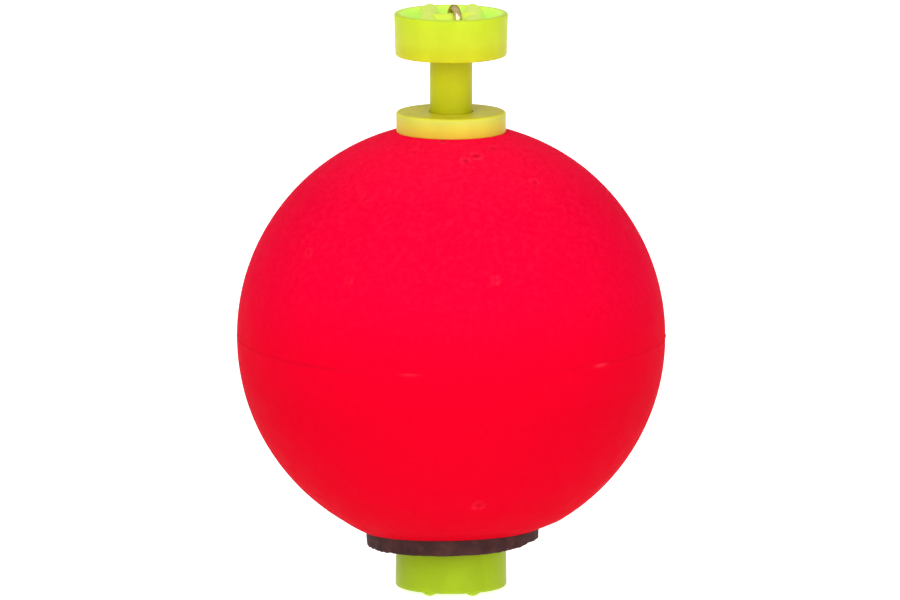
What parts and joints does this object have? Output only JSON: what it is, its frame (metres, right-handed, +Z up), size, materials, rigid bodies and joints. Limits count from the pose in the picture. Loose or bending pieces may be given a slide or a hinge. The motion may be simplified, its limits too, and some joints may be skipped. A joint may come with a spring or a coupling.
{
  "type": "bobber float",
  "caption": "Round foam fishing float with a sprung push button, a wire hook at each end to hold the line, and a weight ring above its lower cap.",
  "frame": {"origin": "on the float's axis, level with the tips of the lower cap's ribs, where it stands", "axes": "+Z up along the axis towards the button; the ribs run along Y"},
  "size_m": [0.051, 0.051, 0.0702],
  "materials": {
    "red_foam": "matte",
    "yellow_plastic": "satin",
    "cast_weight": "matte",
    "chartreuse_plastic": "satin",
    "lime_plastic": "satin",
    "brass_wire": "polished",
    "spring_steel": "satin"
  },
  "bodies": {
    "float_body": {"foam_ball": "red_foam", "guide_tube": "yellow_plastic", "weight_ring": "cast_weight", "bottom_cap": "lime_plastic", "return_spring": "spring_steel"},
    "wire": {"hook_wire": "brass_wire"},
    "push_button": {"plunger": "chartreuse_plastic"}
  },
  "joints": [
    {"name": "wire_slide", "type": "slide", "parent": "float_body", "child": "wire", "axis": [0, 0, 1], "range_m": [-0.0033, 0], "stiffness_N_per_m": 430, "springref_m": 0.008, "deforming": ["return_spring"]},
    {"name": "button_slide", "type": "slide", "parent": "wire", "child": "push_button", "axis": [0, 0, 1], "range_m": [-0.0033, 0], "stiffness_N_per_m": 430, "springref_m": 0.008, "deforming": ["return_spring"]}
  ]
}
